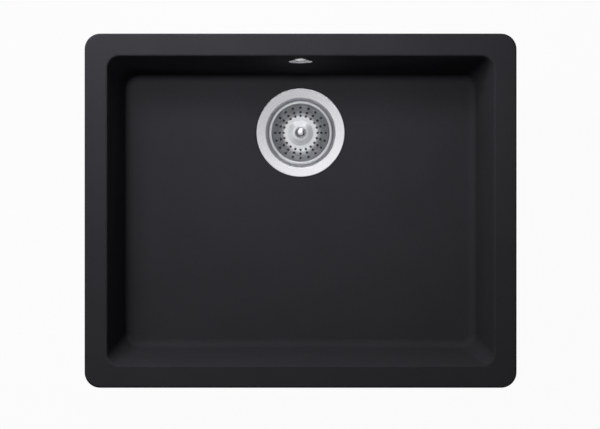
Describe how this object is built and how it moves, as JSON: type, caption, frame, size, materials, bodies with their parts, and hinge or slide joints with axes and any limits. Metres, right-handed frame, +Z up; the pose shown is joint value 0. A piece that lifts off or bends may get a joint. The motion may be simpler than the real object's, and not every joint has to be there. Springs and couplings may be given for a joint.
{
  "type": "undermount kitchen sink",
  "caption": "Rectangular undermount sink bowl of dark stone composite, with a flat rim, a basket strainer waste set to the rear and a rear wall overflow.",
  "frame": {"origin": "centre of the rim's flat top face, in its plane", "axes": "+Z up, square to the rim; +X along the longer side; +Y to the rear, where drain and overflow are"},
  "size_m": [0.556, 0.456, 0.29],
  "materials": {
    "stone_composite": "dark grey mineral composite, fine matt grain",
    "satin_steel": "stainless sheet, satin, turned in rings",
    "basket_steel": "stainless sheet, pressed and punched, semi bright",
    "polished_steel": "polished ball and stem",
    "rosette_chrome": "bright plated",
    "fastener_steel": "plain machined",
    "brass_insert": "turned, dull",
    "black_rubber": "moulded, matt",
    "foot_plastic": "moulded, dark",
    "white_plastic": "moulded, off white",
    "grey_nut_plastic": "moulded, dark grey"
  },
  "bodies": {
    "sink": {"bowl": "stone_composite", "rim_inserts": "brass_insert", "drain_cup": "satin_steel", "flange_gasket": "black_rubber", "clamp_screw": "fastener_steel", "clamp_nut": "brass_insert", "body_gasket": "black_rubber", "valve_body": "white_plastic", "overflow_rosette": "rosette_chrome", "overflow_screw": "rosette_chrome", "overflow_gasket": "black_rubber", "overflow_head": "white_plastic", "head_insert": "brass_insert", "upper_cone_seal": "black_rubber", "upper_pipe_nut": "grey_nut_plastic", "overflow_pipe": "white_plastic", "lower_pipe_nut": "grey_nut_plastic", "lower_cone_seal": "black_rubber", "overflow_elbow": "white_plastic", "port_seal": "black_rubber", "port_nut": "grey_nut_plastic"},
    "stopper": {"stopper_foot": "foot_plastic", "stopper_seal": "black_rubber"},
    "strainer": {"strainer_basket": "basket_steel", "strainer_knob": "polished_steel", "stem_nut": "fastener_steel", "stem_clip": "fastener_steel"}
  },
  "joints": [
    {"name": "strainer_lift", "type": "slide", "parent": "sink", "child": "stopper", "axis": [0, 0, 1], "range_m": [0, 0.26]},
    {"name": "strainer_turn", "type": "hinge", "parent": "stopper", "child": "strainer", "pos_m": [0, 0.1016, 0], "axis": [0, 0, 1], "continuous": true}
  ]
}
